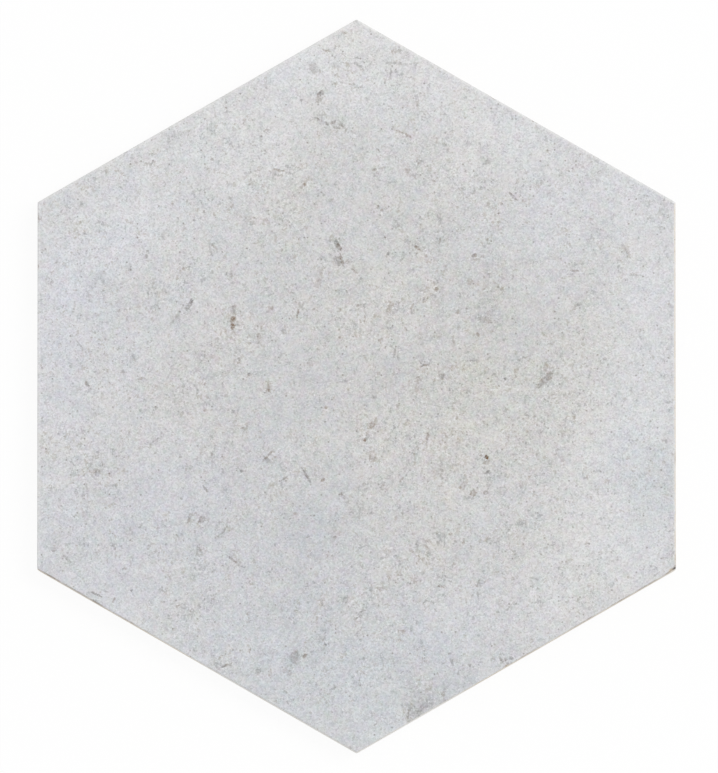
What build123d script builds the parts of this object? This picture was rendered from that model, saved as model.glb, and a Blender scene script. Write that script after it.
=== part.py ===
from build123d import *
import math
import os

# A hexagonal slate-look porcelain tile, dry-pressed and fired as one piece.
# It lies face up on the ribs of its back: +Z is the face's outward side, +Y runs to one tip,
# and the origin is the middle of the back. Millimetres and degrees.

# Outline and section
SIDE_LENGTH = 125.0  # one side of the hexagon at the wall's land, half the size from tip to tip
THICKNESS = 9.0  # face to the back's ribs
CORNER_RADIUS = 0.6  # upright corners, as the press die leaves them
ARRIS_RADIUS = 0.5  # rounded edge between the face and the wall
LAND_HEIGHT = 4.0  # upright band of wall under the arris, from which the grout joint is set
WALL_DRAFT = 4.0  # lean of the wall under the land, inwards to the back
BEVEL_WIDTH = 0.8  # bevel between the wall and the back, measured across the back
BEVEL_HEIGHT = 0.7  # the same bevel, measured up the wall

# Keying relief of the back: a honeycomb of shallow cells, with ribs between them
KEY_DEPTH = 0.8  # back to the floor of a cell
KEY_PITCH = 15.0  # middle to middle of neighbouring cells
KEY_RIB = 2.5  # width of the rib between two cells
KEY_DRAFT = 30.0  # lean of a cell's walls, which lets the punch draw out
KEY_MARGIN = 4.0  # least plain border between the cells and the bevel

SIDE_COUNT = 6  # of the tile and of each keying cell
TIP_ALONG_Y = 30.0  # turns a hexagon so that a tip lies on Y and two sides are upright
TIP_ALONG_X = 0.0
ROW_SPACING = math.cos(math.radians(30.0))  # of a honeycomb's rows, for a pitch of one

# Levels of the section and the size of the hexagon, from its middle to a side, at each of them
land_level = THICKNESS - ARRIS_RADIUS - LAND_HEIGHT
land_apothem = SIDE_LENGTH * math.cos(math.radians(30.0))
bevel_apothem = land_apothem - (land_level - BEVEL_HEIGHT) * math.tan(math.radians(WALL_DRAFT))
back_apothem = bevel_apothem - BEVEL_WIDTH


def outline(apothem, level):
    """The tile's hexagon with its rounded corners, at one level of the section."""
    hexagon = RegularPolygon(apothem, SIDE_COUNT, major_radius=False, rotation=TIP_ALONG_Y)
    return Pos(0, 0, level) * fillet(hexagon.vertices(), CORNER_RADIUS)


def pressed_body():
    """The plain tile: upright land, drafted wall, bevelled back and rounded face edge."""
    land = extrude(outline(land_apothem, land_level), THICKNESS - land_level)
    wall = loft([outline(bevel_apothem, BEVEL_HEIGHT), outline(land_apothem, land_level)], ruled=True)
    bevel = loft([outline(back_apothem, 0), outline(bevel_apothem, BEVEL_HEIGHT)], ruled=True)
    body = land + wall + bevel
    face_edges = body.edges().group_by(Axis.Z)[-1]
    return fillet(face_edges, min(ARRIS_RADIUS, 0.9 * CORNER_RADIUS))


def key_cell():
    """One hexagonal keying cell, mouth on the back and narrowing to its floor."""
    mouth = (KEY_PITCH - KEY_RIB) / 2
    floor = mouth - KEY_DEPTH * math.tan(math.radians(KEY_DRAFT))
    sections = [
        Pos(0, 0, level) * RegularPolygon(apothem, SIDE_COUNT, major_radius=False, rotation=TIP_ALONG_X)
        for level, apothem in ((0, mouth), (KEY_DEPTH, floor))
    ]
    return loft(sections, ruled=True)


def key_centres():
    """Middles of the honeycomb's whole cells: as many rings round the centre as the margin leaves room for."""
    cell_reach = (KEY_PITCH - KEY_RIB) / 2 / ROW_SPACING
    rings = math.floor((back_apothem - KEY_MARGIN - cell_reach) / (KEY_PITCH * ROW_SPACING))
    for column in range(-rings, rings + 1):
        for row in range(max(-rings, -rings - column), min(rings, rings - column) + 1):
            yield KEY_PITCH * ROW_SPACING * column, KEY_PITCH * (row + column / 2)


def tile():
    """The pressed body with the keying cells sunk into its back."""
    cell = key_cell()
    return pressed_body() - [Pos(x, y) * cell for x, y in key_centres()]


os.makedirs("parts", exist_ok=True)
export_step(tile(), "parts/tile.step")
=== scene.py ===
import math

import bpy
import numpy as np
from mathutils import Matrix, Vector, noise
from mathutils.geometry import delaunay_2d_cdt


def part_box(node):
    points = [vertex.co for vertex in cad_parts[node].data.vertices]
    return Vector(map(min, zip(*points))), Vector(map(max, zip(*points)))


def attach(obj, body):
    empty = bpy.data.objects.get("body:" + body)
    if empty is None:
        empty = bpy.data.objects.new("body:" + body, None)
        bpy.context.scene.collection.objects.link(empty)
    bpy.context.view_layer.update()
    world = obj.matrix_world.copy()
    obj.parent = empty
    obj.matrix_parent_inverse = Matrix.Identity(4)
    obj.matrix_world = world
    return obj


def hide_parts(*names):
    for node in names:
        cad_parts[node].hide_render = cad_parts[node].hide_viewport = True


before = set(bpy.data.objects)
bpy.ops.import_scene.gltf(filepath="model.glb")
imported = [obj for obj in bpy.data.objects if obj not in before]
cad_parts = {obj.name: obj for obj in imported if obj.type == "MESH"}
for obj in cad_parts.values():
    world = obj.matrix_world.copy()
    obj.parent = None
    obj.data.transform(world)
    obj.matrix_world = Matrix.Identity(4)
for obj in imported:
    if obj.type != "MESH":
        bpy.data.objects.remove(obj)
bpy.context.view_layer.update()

# Sizes are millimetres on the tile, with its middle as the origin, +Y to the top tip and +X to the right.
MM = 0.001
_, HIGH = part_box("tile")
THICKNESS = HIGH.z / MM
LAND_APOTHEM = HIGH.x / MM  # middle to side, at the upright band of the wall

# Section and keying relief, as in the part's source
CORNER_RADIUS = 0.6
ARRIS_RADIUS = 0.5
LAND_HEIGHT = 4.0
WALL_DRAFT = math.radians(4.0)
BEVEL_WIDTH = 0.8
BEVEL_HEIGHT = 0.7
KEY_DEPTH = 0.8
KEY_PITCH = 15.0
KEY_RIB = 2.5
KEY_DRAFT = math.radians(30.0)
KEY_MARGIN = 4.0
LAND_LOW = THICKNESS - ARRIS_RADIUS - LAND_HEIGHT  # level at which the wall starts to lean inwards

# Fineness of the mesh
SIDE_STEPS = 164  # along one side, on the face and the walls
ARRIS_STEPS = 4
LAND_STEPS = 4
WALL_STEPS = 3

COS_30 = math.cos(math.radians(30.0))
CORNER_CUT = LAND_APOTHEM / COS_30 - HIGH.y / MM  # what the rounding takes off a corner
SIDES = 6
SIDE_TURNS = np.radians(np.arange(SIDES) * 360.0 / SIDES)
SIDE_NORMALS = np.stack([np.cos(SIDE_TURNS), np.sin(SIDE_TURNS)], 1)

# Colours, as sRGB levels from 0 to 255
FACE_TONE = np.array((211.8, 212.0, 213.1))
BODY_TAN = (214, 203, 187)
BODY_PALE = (229, 222, 210)
BODY_DARK = (128, 112, 94)
ENGOBE = (229, 228, 226)
# painted highlight along the face's rounded edge
RIM_HIGHLIGHT = (240, 239, 237)
FLECK_GREY = (84, 85, 83)
FLECK_BROWN = (120, 92, 63)
FLECK_ORANGE = (136, 120, 90)
SPECK_PALE = (243, 244, 245)
SPOT_PALE = (221, 220, 217)
KILN_WASH = (234, 232, 227)
# dark marks of the edge and its chips, brown and black
EDGE_DARK_BROWN = (118, 95, 68)
EDGE_DARK_BLACK = (44, 31, 22)
WARMER = np.array((0.4, 0.1, -0.6))  # one level warmer
GREENER = np.array((-0.35, 0.65, -0.35))  # one level greener

# Tints of the print's warmer and cooler, greener and pinker patches
WARM_TINT = (1.014, 1.003, 0.978, 1.0)
COOL_TINT = (0.986, 0.997, 1.022, 1.0)
GREEN_TINT = (0.996, 1.004, 0.996, 1.0)
PINK_TINT = (1.004, 0.996, 1.004, 1.0)

# Broad clouds of the print with painted light over them, lighter towards the top, darker and cooler towards
# the bottom, cooler on the left: middle x and y, reach along x and y, levels lighter, levels warmer
PRINT_AND_LIGHT_CLOUDS = (
    (0, 118, 40, 26, 10, 0), (-70, 75, 45, 35, 5, -1), (75, 70, 45, 35, 5, -1),
    (98, 15, 22, 45, 4, -2), (-98, 15, 22, 45, 2, -2.5), (14, 8, 60, 52, -6, 2),
    (52, -4, 28, 30, -2, 2), (44, 44, 30, 26, -2.5, -1), (-6, -50, 34, 20, -3, 0),
    (92, -52, 20, 18, 3, 0.5), (-80, -72, 30, 14, 1, 0), (0, -92, 55, 34, -4, -4),
    (-70, -60, 45, 30, -1, -3), (99, -32, 13, 18, -4, -4), (29, -50, 9, 10, 2, 3),
    (78, -30, 24, 34, 3, 0), (-54, 89, 16, 12, 2, 0), (42, 89, 16, 12, 2, 0),
    (-6, 85, 14, 14, -2.5, 1), (-42, 58, 26, 16, -1.5, 0), (18, 64, 14, 12, -1.5, 1),
    (-99, 30, 12, 34, 1.5, -2.5), (-78, 44, 20, 20, 0.5, -2), (66, 40, 18, 12, -2, 1),
    (88, 24, 16, 18, -1.5, 1.5), (42, 20, 10, 10, -2, 1), (6, 18, 18, 12, 2, -0.5),
    (-35, 0, 30, 50, -1, -1), (-79, -27, 12, 10, -1.5, 0), (-101, -32, 8, 26, 1.5, -2),
    (62, -30, 14, 12, -2.5, -1.5), (-20, -48, 34, 16, -2, -1), (42, -52, 14, 12, -3, -1),
    (63, -76, 14, 12, 2.5, 0), (10, -97, 50, 18, -1.5, -2), (-56, 16, 16, 16, -2.5, 0),
    (-77, -6, 15, 13, -2, 0), (43, -5, 17, 15, -2.5, 0), (-4, 43, 34, 13, -1.5, 0),
    (-95, -50, 14, 14, 1.5, -2), (23, -105, 14, 9, -3.5, 2.5),
)

# Patches where the print's hue turns: middle x and y, reach along x and y, levels greener, levels warmer
HUES = (
    (0, -106, 52, 24, 1.0, -0.8),
    (98, -33, 13, 19, 1.2, -0.6),
    (44, -3, 22, 16, 0.7, -0.4),
    (20, 40, 20, 15, 0.5, 1),
    (-52, -30, 18, 12, -0.7, -1),
    (-92, 10, 24, 55, -0.4, -0.5),
)

# Soft smudges of the print: middle x and y, reach along x and y, levels darker
SMUDGES = (
    (22.5, -107, 7, 5.5, 13), (18.5, -111.5, 4, 4, 18), (25, -108, 5, 3, 6.5),
    (-21, -92, 2.6, 5, 14), (-62.3, 22.7, 2.6, 2.2, 12), (-15, 108.5, 3, 3.4, 7),
    (27, -28.5, 5, 4, 8), (-102.5, -53.5, 3.5, 3, 10), (103.2, 60.2, 2.4, 3, 8),
    (43.5, 34, 4, 4, 8), (-33.5, -96.5, 3, 2.4, 12), (-17, -56, 3.5, 3, 7),
    (105.5, -5.2, 3, 1.6, 12), (-5, -118.5, 4, 2.6, 8), (-72, 36.5, 3, 3, 7), (-88.5, 37, 3, 3, 8),
    (-23, 8, 2.4, 5, 6), (74.5, 28, 4, 2.4, 8), (61, -22.5, 3, 2.4, 8),
)

# Flecks of the print: middle x and y, length, width, heading in degrees from +X, darkness, rust
FLECKS = (
    (-7.3, 49.4, 2.2, 1.7, 120, 1, 0.2), (-6.2, 47.6, 2.6, 1.7, 110, 1, 0.4),
    (-5.3, 43.4, 5, 0.9, 104, 1, 0.6), (-6.6, 43, 4, 2.6, 105, 0.7, 0.1),
    (-1.2, 39.8, 2.4, 0.8, 140, 0.8, 0.6), (-13, 37.5, 10, 2.4, 76, 0.4, 0.9),
    (-42.3, 22.2, 5.2, 2.2, 85, 1.1, 0.9), (-42, 26.5, 3.5, 2, 85, 0.6, 0.3),
    (-57.4, 27.6, 5.4, 1.5, 60, 0.8, 0.1), (-56.3, 29.6, 2, 1.2, 60, 0.9, 0.1),
    (-63, 22, 2.4, 1.2, 60, 0.35, 0.1), (-61.2, 23.8, 2, 1, 40, 0.3, 0.1),
    (63.4, 2.4, 10, 2.2, 46, 0.8, 0.4), (43.6, -23.8, 1.7, 1.5, 0, 1.9, 0.6),
    (43.1, -25.8, 1.5, 1.1, 90, 0.7, 1), (41.9, -23.2, 1, 0.9, 0, 0.6, 0.8),
    (-12.5, 100.4, 2.6, 1.8, 20, 1, 0.5), (-13, 98.4, 3, 2.6, 60, 0.6, 0.5),
    (-15, 109, 4.4, 3.4, 100, 0.45, 0.3), (-12.9, 91.2, 2, 1.2, 160, 0.6, 0.6),
    (-10.4, 90, 1.8, 1, 120, 0.7, 0.5), (-8.2, 90.4, 2.2, 1.3, 20, 0.6, 0.6),
    (-7.5, 88.8, 3, 1.2, 160, 0.4, 0.3), (-5.8, 89.8, 1.8, 1.4, 130, 0.65, 0.3),
    (-4.4, 88.4, 2, 0.8, 130, 0.55, 0.2), (-1.5, 87, 2.4, 0.7, 140, 0.4, 0.3),
    (13.5, 110.7, 9.5, 1, 176, 0.55, 0.1), (14, 87.4, 3, 0.8, 160, 0.65, 0.9),
    (17.2, 86, 3.4, 0.9, 146, 0.75, 0.9), (5.8, 74.2, 1.4, 1.3, 0, 1, 0.5),
    (-18, 69, 1.6, 1.3, 150, 0.9, 0.8), (-26.2, 74, 3.6, 0.9, 170, 0.7, 0.8),
    (-69.9, 76.5, 2.6, 0.8, 55, 0.85, 0.2), (-49.3, 77.8, 1.3, 1.2, 0, 0.6, 0.6),
    (-43.2, 64.6, 2, 0.7, 20, 0.7, 0.8), (-43, 62.4, 3, 2.2, 0, 0.3, 0.8),
    (-37.5, 57.5, 3, 2.4, 0, 0.3, 0.6), (-55.4, 57.1, 1.1, 1, 0, 0.8, 0.1),
    (-71.6, 44.6, 1.5, 1.3, 60, 0.7, 0.3), (-71.2, 46.6, 1.2, 1, 0, 0.5, 0.4),
    (-48.6, 48, 2.8, 1, 130, 0.6, 0.9), (-92, 67, 1.4, 1, 0, 0.6, 0.6),
    (-108, 57.6, 2.4, 0.7, 90, 0.7, 0.8), (53, 64.9, 4.6, 1, 132, 0.75, 0.3),
    (44, 77, 2.4, 2, 0, 0.45, 0.3), (48, 56.3, 1.3, 1.1, 0, 0.6, 0.6),
    (57, 56.3, 2, 0.7, 160, 0.45, 0.6), (91.3, 46, 4.4, 0.7, 105, 0.5, 0.1),
    (103, 60, 4.4, 1.6, 62, 0.3, 0.2), (97.5, 65.5, 2.2, 0.7, 170, 0.4, 0.4),
    (39.5, 45, 2.2, 1.7, 30, 0.85, 0.6), (20.3, 47.6, 2.8, 0.9, 140, 0.9, 0.8),
    (23.4, 44.8, 1.4, 1, 160, 0.5, 0.8), (4.3, 47, 2.4, 0.8, 0, 0.45, 0.9),
    (-21.3, 44.7, 1.2, 1.1, 90, 0.6, 1), (26.9, 33.7, 2, 1.4, 60, 0.95, 0.8),
    (-20.3, 25, 3.8, 0.8, 80, 0.85, 0.6), (-23.5, 33, 3.2, 0.7, 120, 0.5, 0.9),
    (-6.1, 26.3, 1.4, 1.2, 90, 0.7, 0.8), (0.2, 27.8, 1.5, 1.1, 60, 0.6, 0.5),
    (2.5, 23.4, 3.2, 0.8, 85, 0.6, 0.8), (11, 27.5, 4.4, 2, 64, 0.6, 0.8),
    (18.5, 27.5, 2.4, 0.8, 65, 0.75, 0.9), (34.8, 31.4, 2.2, 0.8, 90, 0.6, 0.3),
    (34, 25.8, 2.2, 1.5, 130, 0.6, 0.6), (12.6, 11.5, 3.8, 1, 82, 0.6, 0.3),
    (22.4, 7.4, 3.4, 0.9, 12, 0.9, 0.6), (28.4, 3.8, 2.6, 2, 140, 0.6, 0.3),
    (12.3, 5, 3, 1, 85, 0.5, 0.8), (7.2, 4.7, 1.4, 1.2, 90, 0.6, 0.8),
    (20.4, 2.2, 2.6, 0.8, 100, 0.5, 0.7), (27, 17.3, 3.2, 0.9, 175, 0.4, 0.8),
    (32.6, 16, 4, 1, 95, 0.5, 0.7), (-5, 2, 4.4, 0.9, 10, 0.45, 0.1),
    (-16.3, 8.2, 3.2, 0.8, 92, 0.55, 0.8), (-33.3, 17.2, 2.4, 1.8, 110, 0.45, 0.8),
    (-46.3, 18.5, 2.8, 0.8, 85, 0.55, 0.9), (-25, 19.2, 2.6, 1.8, 150, 0.5, 0.2),
    (-30.2, -0.5, 2.6, 0.8, 95, 0.85, 0.5), (-76, 10, 3.2, 0.8, 120, 0.65, 0.4),
    (-73.4, 3, 2.8, 0.8, 15, 0.6, 0.6), (-91.6, 1, 2.2, 1.4, 130, 0.8, 0.5),
    (-103.5, 36, 1.6, 1.1, 80, 0.6, 0.5), (-86.2, 33, 1.2, 1, 60, 0.6, 0.4),
    (-89, 36, 14, 2, 52, 0.22, 0.1), (-68.2, -7, 1.4, 1, 60, 0.7, 0.2),
    (-39, -13.8, 2, 0.7, 30, 0.75, 0.9), (-89, -28.6, 5.2, 2, 170, 0.5, 0.7),
    (-97, -25.6, 3.2, 0.8, 140, 0.5, 0), (-58, -27, 3, 0.8, 85, 0.55, 0.7),
    (-51.6, -34.6, 3.6, 0.7, 125, 0.65, 0.1), (-39.2, -28.5, 1.5, 1.1, 170, 0.8, 0.1),
    (-30.5, -23.5, 5.6, 0.9, 48, 0.85, 0.5), (-17.2, -30.2, 6.4, 0.9, 122, 0.85, 0.3),
    (-24.4, -30.8, 2.8, 0.7, 40, 0.7, 0.1), (-11.8, -31.5, 2, 1.3, 55, 0.75, 0.7),
    (4.9, -12.9, 2.8, 2.2, 40, 0.85, 0.7), (2.4, -17.9, 1.5, 1.3, 0, 0.9, 1),
    (17.2, -11.2, 1.3, 1, 0, 0.7, 0.2), (23.8, -17, 4.6, 0.9, 80, 0.55, 0.5),
    (19.4, -23.5, 3, 0.8, 100, 0.5, 0.8), (4.2, -24, 3, 0.8, 90, 0.5, 0.8),
    (27, -28.5, 5.5, 4, 0, 0.2, 0.3), (15, -31.5, 2.2, 0.8, 50, 0.6, 1),
    (36, -33.4, 5.2, 2, 62, 0.5, 0.6), (39.3, -36.2, 2.6, 2, 20, 0.7, 1),
    (43.6, -36, 1.8, 1.6, 90, 0.7, 0.2), (44, -29, 2.2, 0.7, 40, 0.65, 0.1),
    (50.2, 3, 1.5, 1.1, 120, 0.85, 0.3), (54, 6, 2.8, 1.8, 60, 0.45, 0.9),
    (64, 7, 3.4, 2, 70, 0.4, 0.8), (40.8, 18, 1.8, 1.8, 90, 0.7, 0.7),
    (43, 23, 4.2, 2.6, 170, 0.4, 0.5), (47.5, 34.6, 4.2, 1.1, 130, 0.5, 0.7),
    (38, 36, 2.2, 2.8, 0, 0.45, 0.8), (73.6, 39.8, 3.4, 0.7, 175, 0.65, 0.8),
    (94.5, 38.2, 4.2, 0.7, 178, 0.4, 0.1), (74.6, 28, 4, 1.1, 20, 0.4, 0.2),
    (103.6, 9.4, 3.2, 0.7, 130, 0.4, 0.2), (105.5, -5.2, 3, 0.9, 0, 0.45, 0),
    (61, -22.5, 3, 1.1, 70, 0.4, 0.6), (-98.4, -58.5, 5, 0.9, 142, 0.6, 0.2),
    (-97, -53.2, 4.4, 0.7, 4, 0.4, 0.2), (-103, -55.4, 2.2, 1.4, 150, 0.6, 0.4),
    (-88.4, -70.6, 4.4, 0.8, 155, 0.85, 0.2), (-85.8, -69.3, 3, 0.7, 160, 0.6, 0.1),
    (-88.5, -73, 3, 1.1, 150, 0.6, 0.2), (-82.6, -72.6, 2.4, 0.8, 60, 0.7, 0.9),
    (-82.6, -54.2, 2.8, 1, 115, 0.7, 0.1), (-78.8, -61.7, 1.3, 1.1, 0, 0.5, 0.7),
    (-76.5, -69.2, 1, 0.9, 0, 0.8, 0.1), (-69, -56.4, 4, 1.1, 30, 0.4, 0.6),
    (-57, -44.6, 4.4, 1.1, 72, 0.7, 0.5), (-52.8, -45.2, 2.8, 2.4, 60, 0.8, 0.3),
    (-53.5, -55.4, 3.4, 0.9, 130, 0.6, 0.1), (-60.5, -51.5, 3, 0.8, 125, 0.5, 0.5),
    (-45.3, -49, 3.4, 0.8, 55, 0.75, 0.3), (-42.4, -58.7, 5.2, 0.8, 142, 0.75, 0.5),
    (-60.3, -74.3, 1.8, 0.7, 0, 0.6, 0.9), (-45, -95, 5.6, 0.8, 24, 0.9, 0.4),
    (-36.4, -89.5, 2.2, 0.7, 80, 0.6, 0.9), (-33.5, -96.6, 3, 2, 0, 0.6, 0.1),
    (-21.3, -92, 5, 3.4, 75, 0.45, 0.2), (-23, -97, 3, 2, 80, 0.4, 0.2),
    (-18, -91.6, 2, 1.4, 60, 0.8, 0.7), (-11, -87.5, 1.5, 1, 120, 0.75, 0.1),
    (-5.4, -92, 1.1, 1, 0, 0.6, 0.9), (-11, -96, 2.4, 1.6, 80, 0.4, 0.6),
    (1.6, -97, 3, 0.7, 140, 0.5, 0.8), (-14, -101.6, 1.5, 1, 90, 0.6, 0.2),
    (-7.7, -51, 1.5, 1.3, 0, 0.7, 0.5), (-10.4, -57.5, 1.5, 1, 90, 0.5, 0.5),
    (-20.6, -76.4, 2, 1.4, 140, 0.6, 0.3), (-14.8, -66.5, 1.3, 1.1, 90, 0.6, 0.3),
    (17.2, -111.6, 4.4, 0.7, 88, 0.6, 0.3), (29, -104.4, 2, 1.4, 90, 0.6, 0.7),
    (29.6, -106.6, 1.4, 1, 30, 0.5, 0.2), (32, -93.6, 3, 1.1, 110, 0.55, 0.2),
    (22, -92.8, 1.9, 0.7, 90, 0.6, 0.9), (18.3, -82, 3, 1, 85, 0.5, 0.1),
    (23, -72.8, 2.4, 0.8, 50, 0.7, 0.2), (28.4, -68, 3.2, 0.8, 170, 0.8, 1),
    (19.5, -66.2, 2.6, 0.8, 160, 0.6, 1), (22.2, -58.6, 1.6, 1.3, 90, 0.5, 1),
    (23.4, -54.4, 2, 1.3, 120, 0.45, 0.9), (18.5, -56, 1.4, 1.1, 0, 0.5, 0.9),
    (11, -56, 1.1, 1, 90, 0.55, 1), (7.5, -68.6, 2.2, 1.5, 170, 0.5, 0.6),
    (51.4, -48.3, 5, 0.8, 55, 0.45, 0.1), (57, -47.6, 7, 0.7, 165, 0.3, 0.1),
    (41, -66.6, 2.8, 0.8, 65, 0.7, 0.3), (40.8, -70.6, 2.8, 0.8, 95, 0.65, 0.1),
    (47, -63, 2.8, 0.8, 0, 0.45, 1), (43.6, -66, 2.2, 0.7, 45, 0.5, 1),
    (60, -65.2, 3.4, 0.7, 165, 0.6, 0.2), (48.7, -92.7, 2.6, 1, 130, 0.8, 0.2),
    (52, -92.2, 1.5, 1.1, 130, 0.6, 0.3), (78.5, -53.3, 1, 0.9, 0, 0.7, 0.3),
    (70.8, -60.2, 1, 0.9, 0, 0.6, 0.3), (85.5, -67.2, 1, 0.9, 0, 0.6, 0.2),
    (-36.3, 69.3, 2.4, 0.7, 20, 0.6, 0.8), (-52, 60, 1.1, 1, 0, 0.6, 0.4),
    (-4.5, 121, 2.2, 0.7, 150, 0.6, 0.8), (-10.5, 115, 3, 0.8, 160, 0.65, 1),
    (1.7, 108.2, 1.2, 1, 0, 0.55, 0.5), (-19.2, 98, 1.3, 1, 90, 0.6, 0.6),
    (-7.8, 103.7, 1.1, 1, 0, 0.6, 0.6), (-5.5, 104, 1, 0.9, 0, 0.5, 0.6),
    (20.5, 96.3, 2.4, 0.7, 165, 0.55, 0.5), (22.5, 93.5, 2.2, 0.7, 130, 0.55, 0.4),
    (27, 83.7, 1.2, 1, 0, 0.55, 0.5), (7, 81, 2.2, 0.7, 130, 0.7, 0.3),
    (-17.7, 85.2, 1.5, 1.1, 90, 0.6, 0.8), (-31, 87.8, 2.2, 0.8, 30, 0.5, 0.5),
    (-11.8, 72.4, 1.2, 1, 0, 0.6, 1), (-10.5, 70.5, 1.1, 1, 0, 0.55, 0.6),
    (17, 74, 4, 2, 90, 0.45, 0.5), (20.9, 76.5, 1.4, 1.1, 60, 0.65, 1),
    (26, 70.3, 1.3, 1, 0, 0.55, 0.6), (-30.8, 57, 1.5, 1.1, 80, 0.6, 0.9),
    (8.3, 60.5, 1.3, 1, 0, 0.55, 0.6), (14, 60, 1.4, 1.1, 45, 0.6, 1),
    (13.8, 55, 1.2, 1, 0, 0.55, 0.6), (17, 51.5, 1.3, 1, 90, 0.55, 0.7),
    (10.4, 45.5, 1.3, 1.1, 60, 0.85, 0.1), (28, 50, 2.4, 0.7, 90, 0.6, 0.8),
    (56.3, 63.5, 1.4, 1.1, 0, 0.6, 1), (71, 52, 1.2, 1, 0, 0.55, 0.4),
    (42.5, 44.7, 1.2, 1, 0, 0.6, 0.5), (44, 50.3, 1.3, 1, 60, 0.55, 0.5),
    (-77.3, 40, 1.1, 1, 0, 0.6, 0.3), (-59, 40.5, 1.5, 1.1, 100, 0.6, 0.9),
    (-42.8, 38, 2.4, 0.7, 90, 0.6, 0.9), (-85.7, 16.5, 1.3, 1, 120, 0.6, 0.4),
    (-93, 13, 9, 0.7, 128, 0.35, 0.4), (-40.2, 9.6, 1.2, 1.1, 0, 0.85, 0.1),
    (-36.7, 4.4, 1.2, 1.1, 90, 0.85, 0.1), (-51.7, 1.2, 1.5, 1.1, 60, 0.6, 0.9),
    (-44.5, -3, 1.5, 1.2, 0, 0.55, 0.5), (-68.5, -18, 3.6, 0.6, 35, 0.5, 0.2),
    (-49.3, -23, 1.1, 1, 0, 0.6, 0.3), (-59.8, -38, 1.1, 1, 0, 0.6, 0.3),
    (-29, 27, 1.5, 1.1, 80, 0.6, 0.9), (22.5, 30, 2, 0.7, 80, 0.75, 0.3),
    (31.2, 24.5, 1.3, 1, 90, 0.55, 0.5), (-32.9, -17, 1.2, 1, 0, 0.55, 0.5),
    (13.5, -6.2, 1.3, 1, 70, 0.6, 0.4), (2.3, -33, 1.3, 1.1, 0, 0.55, 0.6),
    (8.5, -33.5, 1.2, 1, 0, 0.55, 0.6), (-5.2, -36.3, 1.3, 1, 30, 0.55, 0.6),
    (-8, -8, 1.2, 1, 0, 0.55, 0.5), (-10.7, -6.8, 1.2, 1, 0, 0.6, 1),
    (32.5, -7.5, 1.3, 1, 80, 0.6, 0.3), (44.5, 38.7, 1.1, 1, 0, 0.6, 0.4),
    (49.3, 37.3, 1.1, 1, 0, 0.6, 0.4), (46, 27.3, 1.3, 1, 0, 0.55, 0.6),
    (45.5, 19, 1.3, 1, 0, 0.55, 0.6), (56.5, 10, 4.4, 0.8, 20, 0.45, 0.6),
    (66.3, -2.5, 1.3, 1, 0, 0.55, 0.5), (60, -10, 1.3, 1, 0, 0.55, 0.6),
    (84, 9.7, 1.3, 1, 0, 0.5, 0.3), (86.5, 4.3, 1.3, 1, 0, 0.5, 0.3),
    (79, -2.8, 1.3, 1, 0, 0.5, 0.3), (67, -29, 1.3, 1, 0, 0.5, 0.5),
    (73.5, -10.5, 1.4, 1.1, 0, 0.55, 1), (-55.5, -76, 3, 0.6, 130, 0.5, 0.3),
    (-48.8, -72, 1.3, 1, 0, 0.55, 0.5), (-37, -77, 1.5, 1, 60, 0.6, 0.9),
    (-67.5, -48, 1.3, 1, 0, 0.55, 0.5), (-21, -43, 1.4, 1.1, 45, 0.6, 0.9),
    (-12, -73.5, 2.6, 0.7, 90, 0.65, 0.2), (14.5, -64, 1.3, 1, 0, 0.55, 0.6),
    (32.7, -60.3, 1.3, 1, 0, 0.55, 0.6), (27, -49.5, 1.4, 1.1, 30, 0.6, 1),
    (31.5, -50, 1.4, 1.1, 30, 0.6, 1), (1, -78, 1.3, 1, 0, 0.55, 0.5), (15, -83, 1.3, 1, 0, 0.6, 1),
    (38.5, -48.5, 1.4, 1, 40, 0.55, 0.5), (36, -53, 1.3, 1, 0, 0.55, 0.5),
    (53.5, -57, 1.1, 1, 0, 0.6, 0.3), (62, -71.5, 1.1, 1, 0, 0.6, 0.3),
    (66, -78.7, 1.1, 1, 0, 0.6, 0.3), (76, -48, 1.3, 1, 0, 0.5, 0.3),
)

# Strewn specks of the print: size, squeeze along each axis, level of noise from which they show, strength
EVEN = (1.0, 1.0, 1.0)
SPECKS = (
    (1.0, EVEN, 0.57, 0.22),
    (1.6, EVEN, 0.6, 0.28),
    (2.6, (1.5, 0.7, 1.0), 0.61, 0.2),
    (4.5, EVEN, 0.63, 0.08),
)
PALE_SPECKS = (1.0, EVEN, 0.6, 0.45)
PALE_SPOTS = (8.0, EVEN, 0.58, 0.27)
SPECK_EDGE = 0.08  # rise of the noise over which a speck fades in
SPECK_CROWDING = 0.05  # what a busy print adds to that noise, and a quiet one takes off
SPECK_HUE_EDGE = (0.42, 0.58)  # noise over which grey specks turn to orange ones
FLECK_LAYERS = 3  # flecks close together are in different layers
MARK_NEAR, MARK_FAR = 0.9, 1.8  # distances past a fleck's outline between which it fades out
FLECK_STRENGTH = 0.76
FLECK_FALL = 0.5  # what a fleck loses from its middle to its outline
FLECK_RAGGED, FLECK_EDGE = (0.4, 1.6), (0.42, 0.68)  # a fleck's ragged outline
FLECK_BROKEN = 0.3  # share of darkness left in the gaps inside a fleck
RUST_SPREAD = (-0.5, 0.55)  # what the ragged noise adds to a fleck's rust
CROWD_REACH, CROWD_CORE = 3.0, 0.2  # how far past a fleck the print stays busy, and share of it wholly so
CROWD_SHARE = 0.22  # what crowding adds to the noise of the busy patches
PEPPER_CELL = 1.2  # about one fine dot in each cell, at most
PEPPER_DOT = (0.36, 0.16)  # distances from a cell's middle between which its dot darkens
PEPPER_SHARE = (0.05, 0.24)  # of cells with a dot, where the print is quiet and where it is busy
PEPPER_STRENGTH = (0.1, 0.55)  # of the faintest dots and the darkest
SMUDGE_FULL = 26.0  # levels at which a smudge covers the print wholly
HATCH_COVER = (0.1, 0.6)  # the smudges' broken texture
PRINT_MIDDLE = (0.3, -0.7)  # clouds, hues, smudges, flecks and seam are measured from here

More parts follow.
